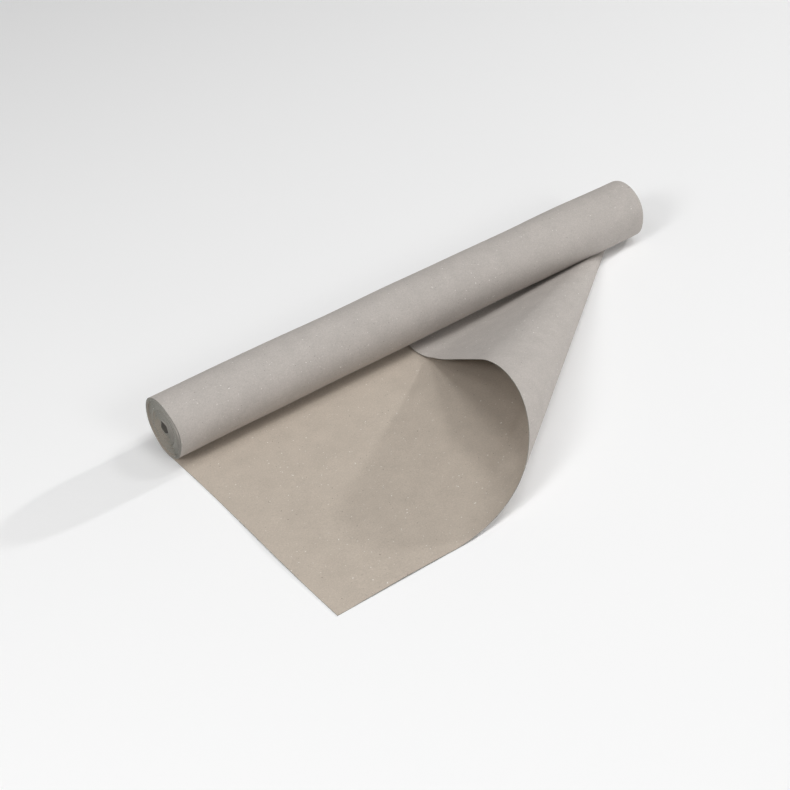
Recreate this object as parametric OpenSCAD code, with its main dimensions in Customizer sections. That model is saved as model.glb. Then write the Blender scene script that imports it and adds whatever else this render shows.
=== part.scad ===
// A roll of roofing felt with its tail rolled out and one corner folded back.
//
// The roll lies on the floor with its axis along X, and the origin is the middle
// of its bore. The tail lies on the floor towards -Y. Its far corner, at +X, is
// folded back in a curl, and the flap runs down into the nip in front of the roll.
// Seen from above, every straight line in the curl runs to one point, the apex.
// Each of them comes down to the floor at the nip.

/* [Roll] */
// Length of the roll, which is the width of the felt
roll_length = 1000; // [500:10:2000]
// Outside diameter of the wound roll
roll_diameter = 108; // [90:1:160]
// Diameter of the open bore along the roll
bore_diameter = 21; // [8:1:60]

/* [Felt] */
// Thickness of one layer
felt_thickness = 1; // [0.8:0.1:2]

/* [Tail] */
// Length of the flat tail in front of the roll
tail_length = 470; // [350:5:700]
// How much longer the tail is at its far side, as the cut is out of square
cut_skew = 19; // [0:1:50]

/* [Folded corner] */
// Distance along the tail's front edge from its near side to where the felt lifts
lift_from_side = 202; // [50:1:400]
// Distance of the apex past the far end of the roll
apex_past_end = 5; // [1:1:60]
// Distance of the apex behind the line where the roll meets the floor
apex_behind = 30; // [10:1:60]
// Distance in front of that line at which the curl comes down to the floor
curl_foot = 5; // [0:1:12]
// Angle of felt at the apex in the rising part of the curl
rise_angle = 8; // [6:0.1:12]
// How far the rising part bends the felt over
rise_turn = 91; // [75:1:110]
// Angle of felt at the apex in the falling part of the curl
fall_angle = 14.4; // [11:0.1:18]
// How far the falling part bends the felt on
fall_turn = 119; // [105:1:130]

/* [Hidden] */

felt_colour = [0.62, 0.59, 0.56];
roll_radius = roll_diameter / 2;
floor_z = -roll_radius;

// The flat felt starts this far in front of the line of contact, and the curl this far
tail_start = 4;
curl_start = 20;
// The front edge of the flap stops this much before the start of the curl
flap_margin = 4;
// The flap's underside lies this high once it is down on the tail
flap_seat = 0.8 * felt_thickness;
// The flat felt and the curl overlap between these two angles, in degrees short of the lift
flat_lap = [2, 1];
// Strips of felt in each half of the curl, and in the flap
curl_steps = 14;
flap_steps = 5;
// The flap's landed part is left out if it would be narrower than this, in degrees
least_step = 0.2;

near_end = -roll_length / 2;
far_end = roll_length / 2;
apex = [far_end + apex_past_end, apex_behind, floor_z + felt_thickness / 2];

depth = tail_length + apex_behind;
lift_x = near_end + lift_from_side;
// The front edge runs out of square from where the felt lifts
cut_slope = cut_skew / (far_end - lift_x);

// Angles at the apex, from the roll's axis: where the felt lifts, stands highest,
// has turned over, and has its far front corner
lift_angle = atan2(depth, apex.x - lift_x);
top_angle = lift_angle + rise_angle;
turned_angle = top_angle + fall_angle;
corner_angle = atan2(depth + cut_skew, apex_past_end);

rise_rate = rise_turn / rise_angle;
fall_rate = fall_turn / fall_angle;

// v turned about axis by angle
function spin(v, axis, angle) =
    let (unit = axis / norm(axis))
    v * cos(angle) + cross(unit, v) * sin(angle) + unit * (unit * v) * (1 - cos(angle));

// A ruling is [its direction from the apex, the normal of the felt along it].
// bend() carries it on across the felt by angle, with rate degrees of turn for each degree.
function bend(ruling, rate, angle) =
    let (axis = ruling[1] + ruling[0] * rate, sweep = angle * norm(axis))
    [spin(ruling[0], axis, sweep), spin(ruling[1], axis, sweep)];

lift_ruling = [[-cos(lift_angle), -sin(lift_angle), 0], [0, 0, 1]];
top_ruling = bend(lift_ruling, rise_rate, rise_angle);
turned_ruling = bend(top_ruling, fall_rate, fall_angle);

function ruling(angle) =
    angle <= lift_angle ? bend(lift_ruling, 0, angle - lift_angle) :
    angle <= top_angle ? bend(lift_ruling, rise_rate, angle - lift_angle) :
    angle <= turned_angle ? bend(top_ruling, fall_rate, angle - top_angle) :
    bend(turned_ruling, 0, angle - turned_angle);

// Distance from the apex, along a ruling, to where it is this far in front of the roll
function run(line, in_front) = (apex.y + in_front) / -line[0].y;

// Distance from the apex to the tail's front edge, along the ruling at angle
function reach(angle) =
    angle <= lift_angle ? depth / sin(angle) :
    depth * (1 + cut_slope / tan(lift_angle)) / (sin(angle) + cut_slope * cos(angle));

// Height of the felt above where it lies flat
function height(line, distance) = line[0].z * (distance - run(line, curl_foot));

// The last angle from low to high at which the test holds, found by halving
function last_angle(holds, low, high, halvings = 24) =
    let (middle = (low + high) / 2)
    halvings == 0 ? low :
    holds(middle) ? last_angle(holds, middle, high, halvings - 1) :
    last_angle(holds, low, middle, halvings - 1);

// The front edge of the flap comes down on the tail, and then reaches the nip
end_angle = last_angle(
    function (angle) reach(angle) > run(ruling(angle), curl_start + flap_margin),
    turned_angle, corner_angle);
landing_angle = last_angle(
    function (angle) height(ruling(angle), reach(angle)) > flap_seat,
    turned_angle, end_angle);

// The two faces of the felt at both ends of the ruling at angle.
// A flap that has come down lies on the tail, turned over.
function station(angle) =
    let (line = ruling(angle), landed = angle > landing_angle,
        normal = landed ? [0, 0, -1] : line[1],
        lowest = angle > turned_angle ? flap_seat : 0)
    [for (distance = [run(line, curl_start), reach(angle)], side = [-0.5, 0.5])
        [
            apex.x + line[0].x * distance,
            apex.y + line[0].y * distance,
            apex.z + (landed ? flap_seat : max(lowest, height(line, distance)))
        ] + normal * felt_thickness * side];

curl_angles = [
    lift_angle - flat_lap[0],
    for (i = [0 : curl_steps - 1]) lift_angle + rise_angle * i / curl_steps,
    for (i = [0 : curl_steps - 1]) top_angle + fall_angle * i / curl_steps,
    for (i = [0 : flap_steps]) turned_angle + (landing_angle - turned_angle) * i / flap_steps,
    if (end_angle > landing_angle + least_step) end_angle
];

// The curl and the flap: one closed strip of felt through a list of stations
module curled_felt() {
    ring = [0, 1, 3, 2];
    last = 4 * (len(curl_angles) - 1);
    polyhedron(
        points = [for (angle = curl_angles) each station(angle)],
        faces = [
            ring,
            for (i = [0 : len(curl_angles) - 2], side = [0 : 3])
                let (a = ring[side], b = ring[(side + 1) % 4])
                each [
                    [4 * i + b, 4 * i + a, 4 * i + 4 + a],
                    [4 * i + b, 4 * i + 4 + a, 4 * i + 4 + b]
                ],
            [for (corner = [3 : -1 : 0]) last + ring[corner]]
        ]
    );
}

// The part of the tail that lies flat, almost as far as the line of lift
module flat_felt() {
    edge_angle = lift_angle - flat_lap[1];
    translate([0, 0, floor_z])
        linear_extrude(felt_thickness)
            polygon([
                [near_end, -tail_start],
                [near_end, -tail_length],
                [apex.x - depth / tan(edge_angle), -tail_length],
                [apex.x - (apex.y + tail_start) / tan(edge_angle), -tail_start]
            ]);
}

module along_roll(diameter, length) {
    rotate([0, 90, 0])
        cylinder(d = diameter, h = length, center = true, $fn = 96);
}

// The wound roll and its tail are one piece of felt
module felt_roll() {
    color(felt_colour)
        difference() {
            union() {
                along_roll(roll_diameter, roll_length);
                flat_felt();
                curled_felt();
            }
            along_roll(bore_diameter, roll_length + 2);
        }
}

felt_roll();
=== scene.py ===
"""A roll of roofing felt, its tail rolled out and one corner folded back, as one sheet of felt.

Everything is in metres in the row frame: X runs along the roll, the origin is the middle of
its bore, and the tail lies on the floor towards -Y.
"""

import math

import bpy
import numpy as np
from mathutils import Matrix, Vector


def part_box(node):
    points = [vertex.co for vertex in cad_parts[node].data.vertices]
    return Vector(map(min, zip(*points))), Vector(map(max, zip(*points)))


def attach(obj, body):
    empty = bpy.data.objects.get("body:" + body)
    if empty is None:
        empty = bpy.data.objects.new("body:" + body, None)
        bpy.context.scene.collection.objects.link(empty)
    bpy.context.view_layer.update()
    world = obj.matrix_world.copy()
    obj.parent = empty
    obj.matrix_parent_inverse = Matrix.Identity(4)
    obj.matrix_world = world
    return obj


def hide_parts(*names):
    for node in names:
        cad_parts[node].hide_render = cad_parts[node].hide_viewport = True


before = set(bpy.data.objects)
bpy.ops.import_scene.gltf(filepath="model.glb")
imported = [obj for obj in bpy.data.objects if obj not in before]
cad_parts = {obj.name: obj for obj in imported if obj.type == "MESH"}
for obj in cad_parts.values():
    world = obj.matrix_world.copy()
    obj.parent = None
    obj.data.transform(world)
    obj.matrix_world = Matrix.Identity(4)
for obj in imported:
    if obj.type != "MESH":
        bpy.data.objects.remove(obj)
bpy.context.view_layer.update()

# ---------------------------------------------------------------- sizes

LOW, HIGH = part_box("felt_roll")
NEAR_END = LOW[0]
FAR_END = HIGH[0]
FLOOR = LOW[2]
ROLL_RADIUS = -FLOOR
BORE_RADIUS = 0.0105
FELT = 0.001

# The tail and its folded corner, as in the CAD. The corner's straight lines, its rulings, meet
# at the apex. It rises over the first spread of angles and turns over in the second. Heights
# along a ruling start at the foot, just in front of the line where the roll meets the floor.
TAIL_LENGTH = 0.470
CUT_SKEW = 0.019
LIFT_X = NEAR_END + 0.202
APEX_X = FAR_END + 0.005
APEX_Y = 0.030
CURL_FOOT = 0.005
RISE_ANGLE = math.radians(8.0)
RISE_TURN = math.radians(91.0)
FALL_ANGLE = math.radians(14.4)
FALL_TURN = math.radians(119.0)

# The folded corner is drawn from this far in front of that line, and it ends where its front
# edge comes within the margin of that
NIP = 0.012
FLAP_MARGIN = 0.006

# Where the folded corner comes down on the tail, its front edge sticks out between two angles
FLAP_EXTRA = 0.0110
LANDING = (math.radians(70.0), math.radians(77.0))

# It sags about an angle, with a spread, from this share of each ruling on
FLAP_SAG = 0.0030
SAG_AT = (math.radians(67.5), math.radians(5.0))
SAG_FROM = 0.3

# It stands off the tail from this share of each ruling on
FLAP_LIFT = 0.0026
FLAP_LIFT_FROM = 0.70

# The cut edges aren't quite straight: how far the near side bows, how many times that it
# spreads at the front, and how much longer than nominal the tail is at its near side and where
# the corner lifts
SIDE_BOW = 0.0015
SIDE_SPREAD = 1.5
CUT_BOW = 0.0015
LIFT_EXTRA = 0.0040

# The winding: each turn takes a little more than the felt's own thickness, and the middle of
# the last one stays just outside the bore. The inner skin round the bore, within the radius
# below, is given a dark felt as painted shade inside the bore.
PITCH = 0.00103
BORE_CLEARANCE = 0.6 * FELT
BORE_SHADE_RADIUS = BORE_RADIUS + 1.2 * PITCH

# Under the roll the flap stays outside this radius. It comes to lie on the tail and against
# the roll with these softnesses.
UNDER_ROLL = ROLL_RADIUS - PITCH + 0.55 * FELT
TAIL_SOFTNESS = 0.0006
ROLL_SOFTNESS = 0.0004
LEAST_SOFTNESS = 1e-6

# How the sheet is divided: columns across it, rows along it, steps round a turn. The end
# column is the one that the inner turns keep next to their near edge.
FLAT_COLUMNS = 96
RISE_COLUMNS = 16
FALL_COLUMNS = 24
FLAP_COLUMNS = 14
EDGE_COLUMNS = 6
END_COLUMN = 3
TAIL_ROWS = 84
TURN_STEPS = 96

SEED = 688
TINY = 1e-12


# ---------------------------------------------------------------- small tools

def smooth_max(a, b, softness):
    return 0.5 * (a + b + np.sqrt((a - b) ** 2 + softness ** 2))


def smooth_min(a, b, softness):
    return 0.5 * (a + b - np.sqrt((a - b) ** 2 + softness ** 2))


def smooth_step(value, start, end):
    t = np.clip((value - start) / (end - start), 0.0, 1.0)
    return t * t * (3.0 - 2.0 * t)


def bump(value, centre, width):
    return np.exp(-((value - centre) / width) ** 2)


class Waves:
    """Smooth seeded noise over two coordinates, with a typical size of 1."""

    def __init__(self, seed, lengths, count=10):
        rng = np.random.default_rng(seed)
        angles = rng.uniform(0.0, 2.0 * math.pi, count)
        scale = 2.0 * math.pi / rng.uniform(lengths[0], lengths[1], count)
        self.u = np.cos(angles) * scale
        self.v = np.sin(angles) * scale
        self.phase = rng.uniform(0.0, 2.0 * math.pi, count)
        self.weight = 1.4 / math.sqrt(count)

    def __call__(self, u, v):
        u = np.asarray(u, float)[..., None]
        v = np.asarray(v, float)[..., None]
        return np.sin(u * self.u + v * self.v + self.phase).sum(-1) * self.weight


# ---------------------------------------------------------------- the curl

def spin(vector, axis, angle):
    unit = axis / np.linalg.norm(axis)
    turned = vector * math.cos(angle) + np.cross(unit, vector) * math.sin(angle)
    return turned + unit * unit.dot(vector) * (1.0 - math.cos(angle))


def bend(ruling, rate, angle):
    """Carries a ruling on by an angle. A ruling is its direction from the apex and the felt's normal."""
    direction, normal = ruling
    axis = normal + direction * rate
    sweep = angle * np.linalg.norm(axis)
    return spin(direction, axis, sweep), spin(normal, axis, sweep)


# Angles at the apex in the felt as it lies flat: the line of lift, the crest, the end of the
# bend, and the corner
DEPTH = TAIL_LENGTH + APEX_Y
CUT_SLOPE = CUT_SKEW / (FAR_END - LIFT_X)
LIFT_ANGLE = math.atan2(DEPTH, APEX_X - LIFT_X)
TOP_ANGLE = LIFT_ANGLE + RISE_ANGLE
TURNED_ANGLE = TOP_ANGLE + FALL_ANGLE
CORNER_ANGLE = math.atan2(DEPTH + CUT_SKEW, APEX_X - FAR_END)

LIFT_RULING = (
    np.array([-math.cos(LIFT_ANGLE), -math.sin(LIFT_ANGLE), 0.0]),
    np.array([0.0, 0.0, 1.0]),
)
TOP_RULING = bend(LIFT_RULING, RISE_TURN / RISE_ANGLE, RISE_ANGLE)
TURNED_RULING = bend(TOP_RULING, FALL_TURN / FALL_ANGLE, FALL_ANGLE)


def direction_at(angle):
    if angle <= TOP_ANGLE:
        return bend(LIFT_RULING, RISE_TURN / RISE_ANGLE, angle - LIFT_ANGLE)[0]
    if angle <= TURNED_ANGLE:
        return bend(TOP_RULING, FALL_TURN / FALL_ANGLE, angle - TOP_ANGLE)[0]
    return bend(TURNED_RULING, 0.0, angle - TURNED_ANGLE)[0]


def run(direction, in_front):
    """Distance from the apex to where a ruling is this far in front of the contact line."""
    return (APEX_Y + in_front) / -direction[1]


def reach(angle):
    """Distance from the apex to the tail's front edge."""
    across = 1.0 + CUT_SLOPE / math.tan(LIFT_ANGLE)
    nominal = DEPTH * across / (math.sin(angle) + CUT_SLOPE * math.cos(angle))
    landing = FLAP_EXTRA * smooth_step(angle, *LANDING)
    lift = LIFT_EXTRA / math.sin(LIFT_ANGLE) * smooth_step(-angle, -TOP_ANGLE, -LIFT_ANGLE)
    return nominal + landing + lift


def last_angle(holds, low, high, halvings=40):
    """The last angle between low and high at which holds is still true."""
    for _ in range(halvings):
        middle = 0.5 * (low + high)
        if holds(middle):
            low = middle
        else:
            high = middle
    return low


# The folded corner is drawn up to where its front edge runs into the nip
END_ANGLE = last_angle(
    lambda angle: reach(angle) > run(direction_at(angle), NIP + FLAP_MARGIN),
    TURNED_ANGLE,
    CORNER_ANGLE,
)


# ---------------------------------------------------------------- the tail's relief

TAIL_WAVES = Waves(SEED, (0.12, 0.45))
COCKLE = Waves(SEED + 1, (0.03, 0.09))
WAVE_HEIGHT = 0.0004
COCKLE_HEIGHT = 0.00012
WAVES_START = (0.02, 0.12)

# Where the tail's cut edges stand up: how high, how far in from the edge, and the middle and
# spread along it
SIDE_LIFT = 0.0015
SIDE_LIFT_DEPTH = 0.05
SIDE_LIFT_AT = (-0.30, 0.09)
FRONT_LIFT = 0.0012
FRONT_LIFT_DEPTH = 0.06
FRONT_LIFT_AT = (-0.36, 0.05)


def tail_relief(x, y):
    """How far the flat tail stands off the floor, which is never below it."""
    wide = WAVE_HEIGHT * (1.0 + TAIL_WAVES(x, y))
    fine = COCKLE_HEIGHT * (1.0 + COCKLE(x, y))
    waves = np.maximum(wide + fine, 0.0) * smooth_step(-y, *WAVES_START)
    side = SIDE_LIFT * smooth_step(NEAR_END - x, -SIDE_LIFT_DEPTH, 0.0) * bump(y, *SIDE_LIFT_AT)
    to_front = smooth_step(-TAIL_LENGTH - y, -FRONT_LIFT_DEPTH, 0.0)
    return waves + side + FRONT_LIFT * to_front * bump(x, *FRONT_LIFT_AT)


# ---------------------------------------------------------------- the winding

ROLL_WAVES = Waves(SEED + 2, (0.10, 0.50))
END_WAVES = Waves(SEED + 3, (0.8, 3.0))

# The outer turn: the height of its waves, the radius that they are wrapped round, where they
# start in it, and how far its top stands out
ROLL_WAVE_HEIGHT = 0.0004
ROLL_WAVE_RADIUS = 0.05
ROLL_WAVES_START = (0.02, 0.2)
ROLL_CROWN = 0.0008

# The first turns open out at the far end: how far, over how many turns and what length, about
# which side and with what spread, and over which angle that closes again at the bottom
FLARE = 0.0024
FLARE_TURNS = 10.0
FLARE_LENGTH = 0.35
FLARE_AT = (5.5, 0.6)
FLARE_CLOSE = 0.5

# Slack between turns, in the lower front of the roll: turns inwards, width, side, spread. It
# opens within a small share of a turn, and it is taken up over the turns that follow.
SLACK = (
    (5.0, 0.0004, 5.3, 0.35),
    (16.0, 0.0005, 5.6, 0.40),
    (27.0, 0.0005, 5.1, 0.45),
)
SLACK_OPENS = 0.05
SLACK_TURNS = 9.0

# The edges of the turns: how much each may stand in from the roll's end, with a slow drift, and
# the least and the most that this may come to. It starts over a share of the first turn.
EDGE_STEP = 0.0006
EDGE_DRAWS = 80
EDGE_DRIFT = 0.0006
DRIFT_PER_TURN = 0.12
EDGE_LIMITS = (-0.001, 0.006)
EDGE_STARTS = 0.15
NEAR_EDGE_SEED = 11
FAR_EDGE_SEED = 12

# The near end is dished towards its bore, in full at the last turn, and a ragged recess runs
# from the bore towards the lower front of its rim
NEAR_DISH = 0.003
DISH_TURNS = 41.0
STREAK_DEPTH = 0.0022
STREAK_AT = (5.75, 0.22)
STREAK_STARTS = (3.0, 8.0)
STREAK_MEAN = 0.6
STREAK_SWING = 0.4
STREAK_RATE = 2.3


def side_at(turns):
    """The angle within a turn, from the bottom of the roll by its back and its top."""
    return (turns % 1.0) * 2.0 * math.pi


def turn_radius(turns, side):
    """Radius of the felt's middle after this many turns inwards."""
    radius = ROLL_RADIUS - 0.5 * FELT - PITCH * turns
    slack = 0.0
    for depth, width, centre, spread in SLACK:
        opened = smooth_step(turns, depth - SLACK_OPENS, depth + SLACK_OPENS)
        closing = np.clip(1.0 - (turns - depth) / SLACK_TURNS, 0.0, 1.0)
        slack = slack + width * opened * closing * bump(side, centre, spread)
    return radius - slack


def turn_grid(turns, x):
    """Points of the winding: one row for each value of turns, one column for each x."""
    side = side_at(turns)
    radius = turn_radius(turns, side)
    grid = np.zeros((len(x), len(turns), 3))
    grid[..., 0] = x[:, None]
    grid[..., 1] = radius * np.sin(side)
    grid[..., 2] = -radius * np.cos(side)
    return grid


def push_out(grid, relief, side):
    """Moves points of the winding away from the roll's axis."""
    grid[..., 1] += relief * np.sin(side)
    grid[..., 2] -= relief * np.cos(side)


def flare(turns, side):
    """How far the lower front of the first turns opens outwards at the roll's far end."""
    inwards = np.clip(1.0 - (turns - 1.0) / FLARE_TURNS, 0.0, 1.0)
    below = smooth_step(2.0 * math.pi - side, 0.0, FLARE_CLOSE)
    return FLARE * inwards * below * bump(side, *FLARE_AT)


def end_offset(turns, side, seed, dish):
    """How far the edge of each turn stands in from the roll's end. The dish grows turn by turn."""
    rng = np.random.default_rng(SEED + seed)
    steps = rng.normal(0.0, EDGE_STEP, EDGE_DRAWS)
    each = np.interp(turns, np.arange(EDGE_DRAWS), steps)
    drift = EDGE_DRIFT * END_WAVES(turns * DRIFT_PER_TURN + seed, side)
    return np.clip(each + drift + dish * turns / DISH_TURNS, *EDGE_LIMITS)


def trim_ends(grid, turns):
    """Sets the edges of each turn in from the roll's ends by their own small amounts."""
    side = side_at(turns)
    easing = smooth_step(turns, 0.0, EDGE_STARTS)
    streak = bump(side, *STREAK_AT) * smooth_step(turns, *STREAK_STARTS)
    ragged = STREAK_MEAN + STREAK_SWING * np.sin(turns * STREAK_RATE)
    near = end_offset(turns, side, NEAR_EDGE_SEED, NEAR_DISH) * easing
    near = near + STREAK_DEPTH * streak * ragged
    far = end_offset(turns, side, FAR_EDGE_SEED, 0.0) * easing
    t = (grid[..., 0] - NEAR_END) / (FAR_END - NEAR_END)
    grid[..., 0] += near * (1.0 - t) - far * t
    return grid


def outer_turn(x):
    turns = np.arange(0, TURN_STEPS + 1) / TURN_STEPS
    side = side_at(turns)
    grid = trim_ends(turn_grid(turns, x), turns)
    waves = ROLL_WAVE_HEIGHT * ROLL_WAVES(x[:, None], side[None, :] * ROLL_WAVE_RADIUS)
    waves = waves * smooth_step(turns, *ROLL_WAVES_START)
    crown = ROLL_CROWN * (0.5 - 0.5 * np.cos(side))
    far = smooth_step(x, FAR_END - FLARE_LENGTH, FAR_END)
    push_out(grid, waves + crown + far[:, None] * flare(turns, side), side)
    return grid


def inner_turns(x):
    """The other turns, and how many turns there are in all."""
    depth = ROLL_RADIUS - 0.5 * FELT - BORE_RADIUS - BORE_CLEARANCE
    turns = np.arange(TURN_STEPS, int(depth / PITCH * TURN_STEPS) + 1) / TURN_STEPS
    side = side_at(turns)
    grid = trim_ends(turn_grid(turns, x), turns)
    # Only the last column opens out, so that no inner turn stands past the outer one
    push_out(grid[-1], flare(turns, side), side)
    return grid, turns[-1]


# ---------------------------------------------------------------- the tail and its corner

def flat_tail():
    """Points of the flat tail: columns from the near side to the line of lift, rows to the front."""
    lift = direction_at(LIFT_ANGLE)
    at_roll = APEX_X + lift[0] * run(lift, 0.0)
    t = np.linspace(0.0, 1.0, FLAT_COLUMNS + 1)[:, None]
    first = NIP / TAIL_LENGTH
    to_front = np.linspace(first, 1.0, TAIL_ROWS) - first
    longer = 1.0 + (CUT_BOW + (LIFT_EXTRA - CUT_BOW) * t) / TAIL_LENGTH
    rest = first + to_front[None, :] * (longer - first) / (1.0 - first)
    along = np.concatenate([0.0 * t, rest], 1)
    x_roll = NEAR_END + (at_roll - NEAR_END) * t
    x_front = NEAR_END + (LIFT_X - NEAR_END) * t
    bow = np.sin(2.0 * math.pi * along) - SIDE_SPREAD * along ** 2
    x = x_roll + (x_front - x_roll) * along + SIDE_BOW * bow * (1.0 - t) ** 2
    y = -TAIL_LENGTH * along
    return np.stack([x, y, FLOOR + 0.5 * FELT + tail_relief(x, y)], -1)


def curl_angles():
    rise = np.linspace(LIFT_ANGLE, TOP_ANGLE, RISE_COLUMNS + 1)
    fall = np.linspace(TOP_ANGLE, TURNED_ANGLE, FALL_COLUMNS + 1)
    flap = np.linspace(TURNED_ANGLE, END_ANGLE, FLAP_COLUMNS + 1)
    return np.concatenate([rise, fall[1:], flap[1:]])


def curl_column(angle):
    """Points of the folded corner along one ruling."""
    direction = direction_at(angle)
    distance = np.linspace(run(direction, NIP), reach(angle), TAIL_ROWS)
    x = APEX_X + direction[0] * distance
    y = APEX_Y + direction[1] * distance
    z = FLOOR + 0.5 * FELT + direction[2] * (distance - run(direction, CURL_FOOT))
    return np.stack([x, y, z], -1)


def settle(grid, angles):
    """Keeps the folded corner on the tail's top and under the roll."""
    to_edge = np.linspace(0.0, 1.0, TAIL_ROWS)[None, :]
    over_tail = smooth_step(angles, TOP_ANGLE, TURNED_ANGLE)[:, None]
    sag = FLAP_SAG * bump(angles, *SAG_AT)[:, None] * smooth_step(to_edge, SAG_FROM, 1.0)
    lifted = FLAP_LIFT * over_tail * smooth_step(to_edge, FLAP_LIFT_FROM, 1.0)
    lowest = FLOOR + FELT * (0.5 + over_tail) + lifted
    z = smooth_max(grid[..., 2] - sag, lowest, TAIL_SOFTNESS * over_tail + LEAST_SOFTNESS)
    y = np.clip(grid[..., 1], -UNDER_ROLL, UNDER_ROLL)
    under = -np.sqrt(UNDER_ROLL ** 2 - y ** 2)
    below_roll = grid[..., 1] > -UNDER_ROLL
    grid[..., 2] = np.where(below_roll, smooth_min(z, under, ROLL_SOFTNESS), z)
    return grid


def folded_corner():
    angles = curl_angles()
    return settle(np.array([curl_column(angle) for angle in angles]), angles)


# ---------------------------------------------------------------- the sheet

class Sheet:
    """The felt's middle surface. Its faces look out of the side that is outermost on the roll."""

    def __init__(self):
        self.points = []
        self.faces = []

    def add(self, grid):
        start = sum(len(p) for p in self.points)
        self.points.append(grid.reshape(-1, 3))
        return start + np.arange(grid.shape[0] * grid.shape[1]).reshape(grid.shape[:2])

    def quads(self, index):
        a = index[:-1, :-1]
        b = index[1:, :-1]
        c = index[1:, 1:]
        d = index[:-1, 1:]
        self.faces.extend(np.stack([a, b, c, d], -1).reshape(-1, 4).tolist())


def add_outer_turn(sheet, tail, tail_index):
    """Winds the outer turn on from the tail's first row. Returns its columns and its indices."""
    at_roll = tail[:, 0, 0]
    shared = len(at_roll)
    extra = np.linspace(at_roll[-1], FAR_END, EDGE_COLUMNS + 1)[1:]
    x = np.concatenate([at_roll, extra])
    grid = outer_turn(x)
    index = np.zeros(grid.shape[:2], int)
    index[:, 1:] = sheet.add(grid[:, 1:])
    index[:shared, 0] = tail_index[:, 0]
    index[shared:, 0] = sheet.add(grid[shared:, :1])[:, 0]
    sheet.quads(index[:, ::-1])
    return x, index


def add_inner_turns(sheet, x, outer_index):
    """Adds the other turns with few columns, as only their edges show. Returns the turns in all."""
    kept = [0, END_COLUMN, len(x) - 1 - EDGE_COLUMNS, len(x) - 1]
    grid, turns = inner_turns(x[kept])
    index = np.zeros(grid.shape[:2], int)
    index[:, 0] = outer_index[kept, -1]
    index[:, 1:] = sheet.add(grid[:, 1:])
    sheet.quads(index[:, :0:-1])
    for column, (start, end) in enumerate(zip(kept, kept[1:])):
        fine = outer_index[start:end + 1, -1].tolist()
        sheet.faces.append(fine[::-1] + [index[column, 1], index[column + 1, 1]])
    return turns


def build_sheet():
    """Points and faces of the felt's middle surface, and the number of turns in the roll."""
    sheet = Sheet()
    tail = flat_tail()
    tail_index = sheet.add(tail)
    corner_index = sheet.add(folded_corner()[1:])
    sheet.quads(tail_index)
    sheet.quads(np.concatenate([tail_index[-1:, 1:], corner_index], 0))
    x, outer_index = add_outer_turn(sheet, tail, tail_index)
    turns = add_inner_turns(sheet, x, outer_index)
    return np.concatenate(sheet.points), sheet.faces, turns


# ---------------------------------------------------------------- thickness

# The felt's materials, in the order of its slots
OUTER_SKIN = 0
INNER_SKIN = 1
CUT_EDGE = 2
# Painted shade: this slot holds a dark felt that stands for the shade inside the bore
BORE_SHADE_SKIN = 3


def face_normal(points):
    following = np.roll(points, -1, axis=0)
    return 0.5 * np.cross(points, following).sum(0)


def point_normals(points, faces):
    normals = np.zeros_like(points)
    quads = np.array([f for f in faces if len(f) == 4])
    corners = points[quads]
    across = np.cross(corners[:, 2] - corners[:, 0], corners[:, 3] - corners[:, 1])
    across /= np.maximum(np.linalg.norm(across, axis=1, keepdims=True), TINY)
    for k in range(4):
        np.add.at(normals, quads[:, k], across)
    for face in faces:
        if len(face) != 4:
            normal = face_normal(points[face] - points[face[0]])
            normals[face] += normal / max(np.linalg.norm(normal), TINY)
    return normals / np.maximum(np.linalg.norm(normals, axis=1, keepdims=True), TINY)


def open_edges(faces):
    seen = {}
    for face in faces:
        for a, b in zip(face, face[1:] + face[:1]):
            if (b, a) in seen:
                del seen[(b, a)]
            else:
                seen[(a, b)] = True
    return list(seen)


def thicken(points, faces):
    """Both skins of the felt and its cut edge, with the material of each face."""
    half = 0.5 * FELT * point_normals(points, faces)
    count = len(points)
    skins = np.concatenate([points - half, points + half])
    inner = [face[::-1] for face in faces]
    outer = [[i + count for i in face] for face in faces]
    rim = [[a, b, b + count, a + count] for a, b in open_edges(faces)]
    material = [INNER_SKIN] * len(inner) + [OUTER_SKIN] * len(outer) + [CUT_EDGE] * len(rim)
    middle = np.array([skins[face].mean(0) for face in inner])
    # Painted shade: faces of the inner skin round the bore get the dark bore felt
    bore_shade_faces = np.hypot(middle[:, 1], middle[:, 2]) < BORE_SHADE_RADIUS
    for i in np.nonzero(bore_shade_faces)[0]:
        material[i] = BORE_SHADE_SKIN
    return skins, inner + outer + rim, material


# ---------------------------------------------------------------- materials

OUTER_COLOUR = (0.455, 0.422, 0.394)
INNER_COLOUR = (0.48, 0.419, 0.355)
EDGE_COLOUR = (0.25, 0.245, 0.22)
# Painted shade: the dark felt for the inner skin round the bore stands for the shade inside it
BORE_SHADE_COLOUR = (0.15, 0.14, 0.125)
PALE_SPECK = (0.85, 0.84, 0.80)
DARK_SPECK = (0.16, 0.14, 0.13)
FLOOR_COLOUR = (0.90, 0.90, 0.90)

# Noise scales of the felt's texture, in cells a metre
CLOUD_SCALE = 30.0
LUMP_SCALE = 180.0
PALE_SCALE = 260.0
DARK_SCALE = 300.0
FIBRE_SCALE = 420.0
GRAIN_SCALE = 900.0

# How far the clouds and the fibre go below and above the felt's own shade
CLOUD_CONTRAST = 0.05
FIBRE_CONTRAST = 0.12
NOISE_BODY = (0.3, 0.7)

# The noise values over which specks fade in, and how strongly they cover the felt
PALE_FROM = (0.745, 0.775)
PALE_COVER = 0.8
DARK_FROM = (0.25, 0.225)
DARK_COVER = 0.7

FELT_ROUGHNESS = 0.95
FELT_SPECULAR = 0.2
FLOOR_ROUGHNESS = 0.9
GRAIN_STRENGTH = 0.35
GRAIN_HEIGHT = 0.0004

# A mix node's inputs for its two colours
COLOUR_A = 6
COLOUR_B = 7


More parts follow.
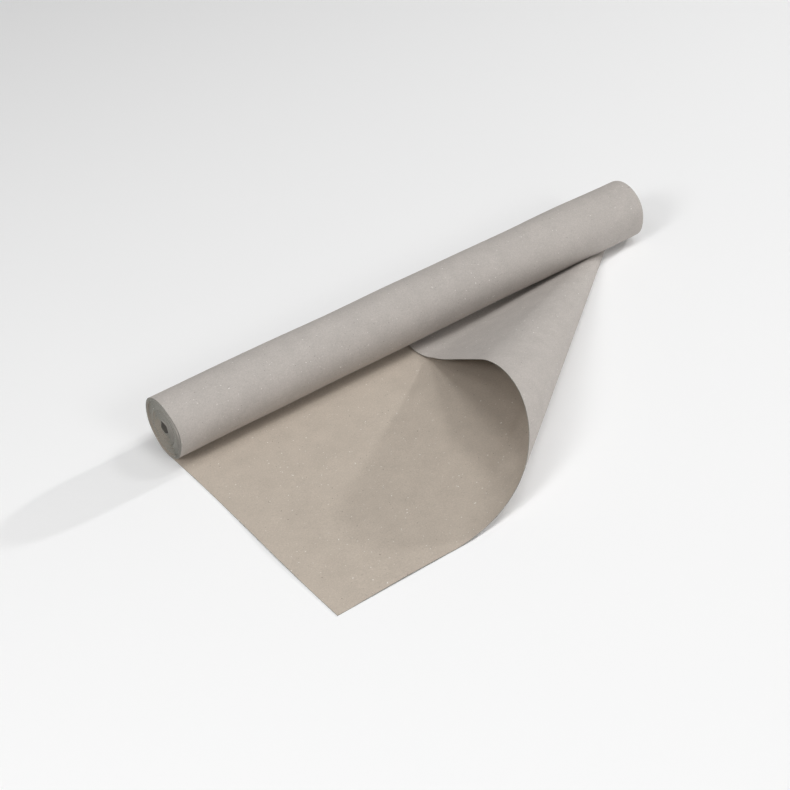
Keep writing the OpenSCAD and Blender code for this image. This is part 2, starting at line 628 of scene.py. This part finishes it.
class Nodes:
    """A short way to build one node material."""

    def __init__(self, name):
        self.material = bpy.data.materials.new(name)
        self.material.use_nodes = True
        self.tree = self.material.node_tree
        self.shader = self.tree.nodes["Principled BSDF"]
        self.place = self.tree.nodes.new("ShaderNodeTexCoord").outputs["Object"]

    def link(self, source, target):
        self.tree.links.new(source, target)

    def noise(self, scale, detail=3.0, roughness=0.6):
        node = self.tree.nodes.new("ShaderNodeTexNoise")
        node.inputs["Scale"].default_value = scale
        node.inputs["Detail"].default_value = detail
        node.inputs["Roughness"].default_value = roughness
        self.link(self.place, node.inputs["Vector"])
        return node.outputs["Fac"]

    def fade(self, value, limits, highest=1.0):
        """0 at the first of the limits and highest at the second."""
        node = self.tree.nodes.new("ShaderNodeMapRange")
        node.inputs["From Min"].default_value = limits[0]
        node.inputs["From Max"].default_value = limits[1]
        node.inputs["To Min"].default_value = 0.0
        node.inputs["To Max"].default_value = highest
        self.link(value, node.inputs["Value"])
        return node.outputs["Result"]

    def blend(self, kind, factor, a, b):
        """Mixes two colours. Each input is a colour, a number or another node's output."""
        node = self.tree.nodes.new("ShaderNodeMix")
        node.data_type = "RGBA"
        node.blend_type = kind
        for value, name in ((factor, "Factor"), (a, COLOUR_A), (b, COLOUR_B)):
            socket = node.inputs[name]
            if isinstance(value, tuple):
                socket.default_value = (*value, 1.0)
            elif isinstance(value, float):
                socket.default_value = value
            else:
                self.link(value, socket)
        return node.outputs[2]

    def add(self, a, b):
        node = self.tree.nodes.new("ShaderNodeMath")
        node.operation = "ADD"
        self.link(a, node.inputs[0])
        self.link(b, node.inputs[1])
        return node.outputs[0]

    def roughen(self, height, strength, distance):
        node = self.tree.nodes.new("ShaderNodeBump")
        node.inputs["Strength"].default_value = strength
        node.inputs["Distance"].default_value = distance
        self.link(height, node.inputs["Height"])
        self.link(node.outputs["Normal"], self.shader.inputs["Normal"])


def tinted(colour, factor):
    return tuple(factor * c for c in colour)


def felt_material(name, base):
    """Dry rag felt: cloudy mottling, fine fibre, and scattered pale and dark specks."""
    n = Nodes(name)
    white = (1.0, 1.0, 1.0)
    cloud = n.fade(n.noise(CLOUD_SCALE, detail=5.0, roughness=0.65), NOISE_BODY)
    fibre = n.fade(n.noise(FIBRE_SCALE, detail=4.0, roughness=0.75), NOISE_BODY)
    broad = n.blend("MIX", cloud, tinted(base, 1.0 - CLOUD_CONTRAST), tinted(base, 1.0 + CLOUD_CONTRAST))
    fine = n.blend("MIX", fibre, tinted(white, 1.0 - FIBRE_CONTRAST), tinted(white, 1.0 + FIBRE_CONTRAST))
    colour = n.blend("MULTIPLY", 1.0, broad, fine)
    pale = n.fade(n.noise(PALE_SCALE, detail=1.0), PALE_FROM, PALE_COVER)
    colour = n.blend("MIX", pale, colour, PALE_SPECK)
    dark = n.fade(n.noise(DARK_SCALE, detail=1.0), DARK_FROM, DARK_COVER)
    colour = n.blend("MIX", dark, colour, DARK_SPECK)
    n.link(colour, n.shader.inputs["Base Color"])
    n.shader.inputs["Roughness"].default_value = FELT_ROUGHNESS
    n.shader.inputs["Specular IOR Level"].default_value = FELT_SPECULAR
    grain = n.add(n.noise(GRAIN_SCALE, detail=4.0, roughness=0.7), n.noise(LUMP_SCALE))
    n.roughen(grain, GRAIN_STRENGTH, GRAIN_HEIGHT)
    return n.material


def plain_material(name, colour, roughness):
    n = Nodes(name)
    n.shader.inputs["Base Color"].default_value = (*colour, 1.0)
    n.shader.inputs["Roughness"].default_value = roughness
    return n.material


# ---------------------------------------------------------------- objects

SHARP_ANGLE = math.radians(50.0)
FLOOR_HALF = 12.0
LIGHT_TARGET = (0.0, -0.1, FLOOR)


def add_object(name, data):
    made = bpy.data.objects.new(name, data)
    bpy.context.scene.collection.objects.link(made)
    return made


def make_felt():
    """The felt, and the number of turns in its roll."""
    points, faces, turns = build_sheet()
    skins, all_faces, material = thicken(points, faces)
    mesh = bpy.data.meshes.new("felt")
    mesh.from_pydata(skins.tolist(), [], all_faces)
    mesh.materials.append(felt_material("felt_outer", OUTER_COLOUR))
    mesh.materials.append(felt_material("felt_inner", INNER_COLOUR))
    mesh.materials.append(felt_material("felt_edge", EDGE_COLOUR))
    # The bore's material is painted shade
    mesh.materials.append(felt_material("felt_bore_painted_shade", BORE_SHADE_COLOUR))
    mesh.polygons.foreach_set("material_index", material)
    mesh.polygons.foreach_set("use_smooth", [True] * len(material))
    mesh.update()
    mesh.validate()
    mesh.set_sharp_from_angle(angle=SHARP_ANGLE)
    return add_object("felt", mesh), turns


def make_floor():
    mesh = bpy.data.meshes.new("floor")
    signs = ((-1, -1), (1, -1), (1, 1), (-1, 1))
    corners = [(FLOOR_HALF * x, FLOOR_HALF * y, 0.0) for x, y in signs]
    mesh.from_pydata(corners, [], [(0, 1, 2, 3)])
    mesh.materials.append(plain_material("floor", FLOOR_COLOUR, FLOOR_ROUGHNESS))
    made = add_object("floor", mesh)
    made.location.z = FLOOR
    return made


def make_light(name, position, size, power, colour=(1.0, 1.0, 1.0)):
    """A round soft light that looks at the tail."""
    data = bpy.data.lights.new(name, "AREA")
    data.shape = "DISK"
    data.size = size
    data.energy = power
    data.color = colour
    light = add_object(name, data)
    light.location = position
    towards = Vector(LIGHT_TARGET) - Vector(position)
    light.rotation_euler = towards.to_track_quat("-Z", "Y").to_euler()


def make_world(colour, strength):
    world = bpy.data.worlds.new("studio")
    world.use_nodes = True
    background = world.node_tree.nodes["Background"]
    background.inputs["Color"].default_value = (*colour, 1.0)
    background.inputs["Strength"].default_value = strength
    bpy.context.scene.world = world


def make_camera(position, azimuth, elevation, roll, lens):
    """Azimuth 0 looks along +Y and 90 along -X. Angles are in degrees."""
    data = bpy.data.cameras.new("camera")
    data.lens = lens
    data.sensor_width = 36.0
    data.clip_end = 50.0
    a = math.radians(azimuth)
    e = math.radians(elevation)
    r = math.radians(roll)
    back = Vector((math.sin(a) * math.cos(e), -math.cos(a) * math.cos(e), math.sin(e)))
    right = Vector((math.cos(a), math.sin(a), 0.0))
    up = back.cross(right)
    side = right * math.cos(r) + up * math.sin(r)
    top = up * math.cos(r) - right * math.sin(r)
    camera = add_object("camera", data)
    camera.matrix_world = Matrix.Translation(position) @ Matrix((side, top, back)).transposed().to_4x4()
    bpy.context.scene.camera = camera


# ---------------------------------------------------------------- scene

make_camera(
    position=(-1.33675, -1.84208, 1.55339),
    azimuth=-34.97,
    elevation=37.36,
    roll=-3.85,
    lens=72.58,
)
floor = make_floor()

felt, turns = make_felt()
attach(felt, "root")
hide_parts("felt_roll")

# The lights were balanced against the shades of the felt in the photo. Low right casts the
# long shadow of the folded corner over the tail.
make_world(colour=(1.0, 1.0, 1.0), strength=0.25)
make_light("key", position=(0.2, -0.86, 4.36), size=1.60, power=37.0)
make_light("left", position=(-3.50, -0.90, 2.60), size=1.30, power=58.0)
make_light("left_high", position=(-2.20, -0.60, 4.00), size=1.40, power=16.0)
make_light("right", position=(2.34, -0.73, 3.73), size=0.80, power=23.0)
make_light("low_right", position=(6.70, 0.17, 2.52), size=0.40, power=178.0)
make_light("front", position=(0.60, -5.00, 3.00), size=2.00, power=60.0)
make_light("fill", position=(-1.50, -6.00, 0.70), size=2.40, power=30.0, colour=(1.0, 0.98, 0.96))
bpy.context.scene.view_settings.view_transform = "Standard"
